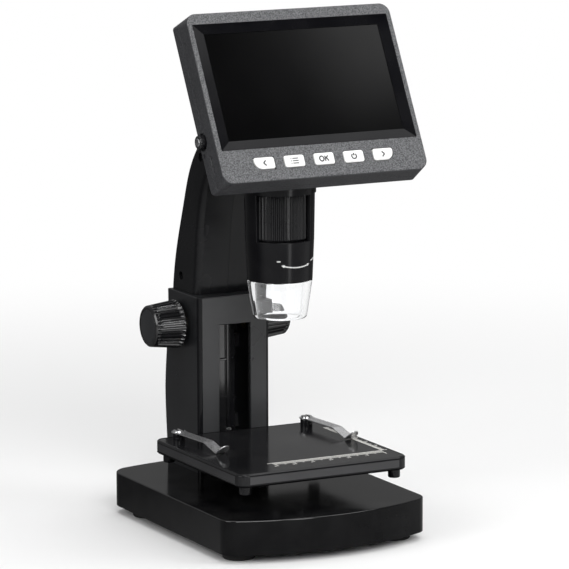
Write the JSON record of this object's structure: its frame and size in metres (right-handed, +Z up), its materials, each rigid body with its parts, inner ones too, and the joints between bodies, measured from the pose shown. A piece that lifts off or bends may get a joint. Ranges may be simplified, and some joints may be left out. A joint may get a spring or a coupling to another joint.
{
  "type": "digital microscope",
  "caption": "Free-standing digital microscope: tilting LCD monitor, geared stage on a column, clear-nosed barrel with focus ring and spring clips.",
  "frame": {"origin": "on the table plane, under the middle of the overall bounding box", "axes": "+Z up, the front with the screen faces -Y, +X to the right seen from the front"},
  "size_m": [0.114, 0.1505, 0.2613],
  "materials": {
    "case_plastic": "fine speckled matte",
    "gloss_black": "polished",
    "grey_plastic": "satin",
    "rubber": "matte",
    "steel": "bright",
    "brass": "turned",
    "clear_acrylic": "clear, polished",
    "screen_glass": "black, glossy",
    "circuit_board": "solder mask",
    "battery_wrap": "foil wrap",
    "led_white": "clear white",
    "key_white": "printed",
    "dial_chrome": "polished",
    "stub_black": "moulded"
  },
  "bodies": {
    "frame": {"base_shell": "gloss_black", "base_bottom_cover": "case_plastic", "base_weight": "steel", "base_feet": "rubber", "base_screws": "steel", "column_shell": "case_plastic", "column_back_cover": "case_plastic", "column_screws": "steel", "cover_screws": "steel", "shaft_bushes": "brass", "arm_left_shell": "case_plastic", "arm_right_shell": "case_plastic", "arm_screws": "steel", "barrel_cowl": "case_plastic", "barrel_sleeve": "case_plastic", "clear_nose": "clear_acrylic", "led_board": "circuit_board", "leds": "led_white", "sensor_board": "circuit_board", "hinge_pin": "steel"},
    "stage": {"stage_plate": "gloss_black", "stage_bracket": "grey_plastic", "bracket_screws": "steel", "stage_rack": "grey_plastic", "rack_screw": "steel", "stage_stubs": "stub_black", "clip_posts": "grey_plastic", "clip_screws": "steel"},
    "knobs": {"pinion_shaft": "steel", "drive_pinion": "brass", "knob_left": "gloss_black", "knob_right": "gloss_black", "knob_caps": "grey_plastic", "drag_washer": "rubber"},
    "focus": {"focus_ring": "case_plastic"},
    "lens": {"lens_carrier": "case_plastic", "objective_lenses": "clear_acrylic"},
    "monitor": {"bezel_front": "case_plastic", "lcd_frame": "gloss_black", "lcd_panel": "screen_glass", "rear_cover": "case_plastic", "main_board": "circuit_board", "key_board": "circuit_board", "battery": "battery_wrap", "card_socket": "steel", "usb_socket": "steel", "dimmer_pot": "circuit_board", "monitor_screws": "steel", "hinge_bracket": "steel"},
    "key_left": {"key_left": "key_white"},
    "key_menu": {"key_menu": "key_white"},
    "key_ok": {"key_ok": "key_white"},
    "key_power": {"key_power": "key_white"},
    "key_right": {"key_right": "key_white"},
    "dimmer": {"dimmer_knob": "dial_chrome"},
    "clip_left": {"clip_left": "steel"},
    "clip_right": {"clip_right": "steel"}
  },
  "joints": [
    {"name": "stage_lift", "type": "slide", "parent": "frame", "child": "stage", "axis": [0, 0, 1], "range_m": [-0.0098, 0.05]},
    {"name": "knob_turn", "type": "hinge", "parent": "frame", "child": "knobs", "pos_m": [0, 0.0574, 0.0953], "axis": [1, 0, 0], "range_deg": [-600, 120]},
    {"name": "focus_turn", "type": "hinge", "parent": "frame", "child": "focus", "pos_m": [0, -0.0135, 0.159], "axis": [0, 0, 1], "range_deg": [-150, 150]},
    {"name": "lens_slide", "type": "slide", "parent": "frame", "child": "lens", "axis": [0, 0, 1], "range_m": [-0.003, 0.003]},
    {"name": "monitor_tilt", "type": "hinge", "parent": "frame", "child": "monitor", "pos_m": [0, -0.02905, 0.20129], "axis": [1, 0, 0], "range_deg": [-30, 25]},
    {"name": "dimmer_turn", "type": "hinge", "parent": "monitor", "child": "dimmer", "pos_m": [-0.0555, -0.04111, 0.20211], "axis": [-1, 0, 0], "range_deg": [-135, 135]},
    {"name": "clip_left_turn", "type": "hinge", "parent": "stage", "child": "clip_left", "pos_m": [-0.0361, 0.0269, 0.0465], "axis": [0, 0, 1], "range_deg": [-40, 40]},
    {"name": "clip_right_turn", "type": "hinge", "parent": "stage", "child": "clip_right", "pos_m": [0.0361, 0.0269, 0.0465], "axis": [0, 0, 1], "range_deg": [-40, 40]},
    {"name": "key_left_press", "type": "slide", "parent": "monitor", "child": "key_left", "axis": [0, 0.8801, -0.4747], "range_m": [0, 0.0008], "stiffness_N_per_m": 300, "springref_m": -0.002},
    {"name": "key_menu_press", "type": "slide", "parent": "monitor", "child": "key_menu", "axis": [0, 0.8801, -0.4747], "range_m": [0, 0.0008], "stiffness_N_per_m": 300, "springref_m": -0.002},
    {"name": "key_ok_press", "type": "slide", "parent": "monitor", "child": "key_ok", "axis": [0, 0.8801, -0.4747], "range_m": [0, 0.0008], "stiffness_N_per_m": 300, "springref_m": -0.002},
    {"name": "key_power_press", "type": "slide", "parent": "monitor", "child": "key_power", "axis": [0, 0.8801, -0.4747], "range_m": [0, 0.0008], "stiffness_N_per_m": 300, "springref_m": -0.002},
    {"name": "key_right_press", "type": "slide", "parent": "monitor", "child": "key_right", "axis": [0, 0.8801, -0.4747], "range_m": [0, 0.0008], "stiffness_N_per_m": 300, "springref_m": -0.002}
  ],
  "couplings": [
    {"joint": "knob_turn", "follows": "stage_lift", "rad_per_m": -208.33},
    {"joint": "focus_turn", "follows": "lens_slide", "rad_per_m": 872.66}
  ]
}
